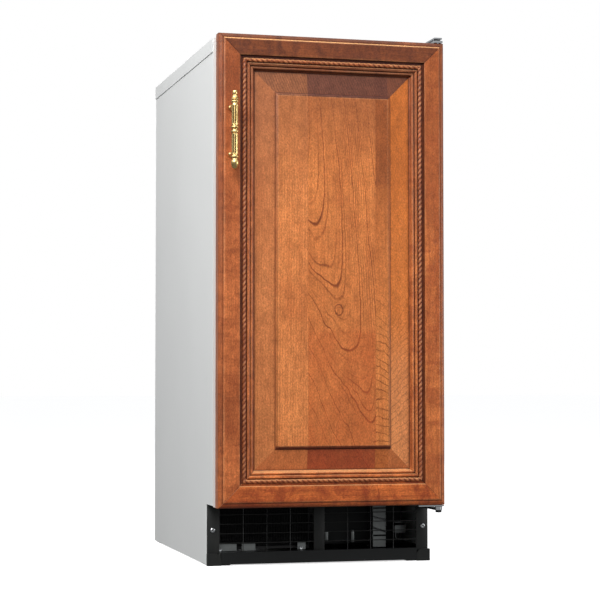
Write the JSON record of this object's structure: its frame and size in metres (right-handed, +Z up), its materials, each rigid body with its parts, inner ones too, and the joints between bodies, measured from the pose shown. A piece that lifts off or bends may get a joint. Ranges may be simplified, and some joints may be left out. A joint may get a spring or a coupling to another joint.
{
  "type": "ice maker",
  "caption": "Slim free-standing under-counter ice maker with a hinged door under a raised-panel wooden overlay, a toe recess with a grille, and an insulated ice bin.",
  "frame": {"origin": "on the floor, under the middle of the overall box", "axes": "+Z up, the door faces -Y, +X is the right-hand side as seen from the front, where the door hinges"},
  "size_m": [0.3804, 0.6079, 0.8628],
  "materials": {
    "shell": "light grey textured enamel on steel sheet, satin",
    "door_trim": "pale warm white enamel, satin",
    "galvanised": "galvanised steel sheet, dull",
    "stainless": "stainless steel, brushed",
    "bright_steel": "bright zinc or nickel plate",
    "brass": "polished and lacquered brass",
    "copper": "drawn copper tube, slightly dull",
    "tinned_copper": "tin-plated copper, dull silver",
    "cherry": "stained cherry, satin lacquer with dark glaze in the recesses",
    "cherry_panel": "stained cherry staves glued side by side, satin lacquer",
    "liner": "white moulded plastic, satin",
    "scoop_plastic": "translucent grey-blue moulded plastic",
    "grey_plastic": "mid grey moulded plastic",
    "black_plastic": "black moulded plastic, fine grain",
    "black_paint": "black enamel, semi-gloss",
    "foam": "rigid insulating foam",
    "seal": "grey soft seal",
    "hose": "translucent white tube"
  },
  "bodies": {
    "cabinet": {"side_panel_left": "shell", "foot_front_left": "black_plastic", "foot_back_left": "black_plastic", "grille_screw_left": "bright_steel", "side_panel_right": "shell", "foot_front_right": "black_plastic", "foot_back_right": "black_plastic", "grille_screw_right": "bright_steel", "top_cap": "shell", "face_frame": "shell", "back_panel": "galvanised", "rear_cover": "galvanised", "base_tray": "black_paint", "front_grille": "black_plastic", "cabinet_insulation": "foam", "bin_liner": "liner", "hinge_bracket_top": "bright_steel", "hinge_bracket_bottom": "black_paint", "hinge_pin_top": "bright_steel", "hinge_pin_bottom": "black_plastic", "evaporator": "tinned_copper", "evaporator_coil": "copper", "evaporator_frame": "stainless", "actuator_motor": "galvanised", "bin_control": "liner", "compressor": "black_paint", "condenser": "black_paint", "fan_shroud": "galvanised", "fan_motor": "black_paint", "hot_gas_valve": "bright_steel", "control_box": "galvanised", "discharge_line": "copper", "suction_line": "copper", "water_supply_tube": "hose", "water_valve": "grey_plastic", "drain_outlet": "grey_plastic", "cord_gland": "black_plastic"},
    "door": {"door_shell": "door_trim", "door_liner": "liner", "door_insulation": "foam", "door_gasket": "seal", "stile_left": "cherry", "stile_right": "cherry", "rail_top": "cherry", "rail_bottom": "cherry", "rope_moulding": "cherry", "raised_panel": "cherry_panel", "handle_bar": "brass", "handle_post_lower": "brass", "handle_post_upper": "brass", "hinge_plate_top": "bright_steel", "hinge_plate_bottom": "bright_steel"},
    "water_unit": {"water_plate": "liner", "water_tank": "scoop_plastic", "pump_motor": "black_paint"},
    "cam": {"cam_arm": "liner"},
    "fan": {"fan_blade": "grey_plastic"},
    "paddle": {"bin_lever": "stainless"},
    "rocker": {"power_switch": "grey_plastic"},
    "scoop": {"ice_scoop": "scoop_plastic"}
  },
  "joints": [
    {"name": "door_hinge", "type": "hinge", "parent": "cabinet", "child": "door", "pos_m": [0.18, -0.259, 0.475], "axis": [0, 0, 1], "range_deg": [0, 110]},
    {"name": "water_tilt", "type": "hinge", "parent": "cabinet", "child": "water_unit", "pos_m": [-0.03, 0.205, 0.742], "axis": [1, 0, 0], "range_deg": [0, 30]},
    {"name": "cam_turn", "type": "hinge", "parent": "cabinet", "child": "cam", "pos_m": [0.0795, 0, 0.776], "axis": [1, 0, 0], "range_deg": [0, 120]},
    {"name": "fan_spin", "type": "hinge", "parent": "cabinet", "child": "fan", "pos_m": [-0.09, -0.114, 0.098], "axis": [0, 1, 0], "continuous": true},
    {"name": "paddle_swing", "type": "hinge", "parent": "cabinet", "child": "paddle", "pos_m": [0.122, -0.1, 0.642], "axis": [0, 1, 0], "range_deg": [-10, 20]},
    {"name": "power_rock", "type": "hinge", "parent": "cabinet", "child": "rocker", "pos_m": [0.13, -0.105, 0.062], "axis": [1, 0, 0], "range_deg": [0, 16]},
    {"name": "scoop_lift", "type": "slide", "parent": "cabinet", "child": "scoop", "axis": [0, 0, 1], "range_m": [0, 0.06]}
  ],
  "couplings": [
    {"joint": "cam_turn", "follows": "water_tilt", "ratio": 4}
  ]
}
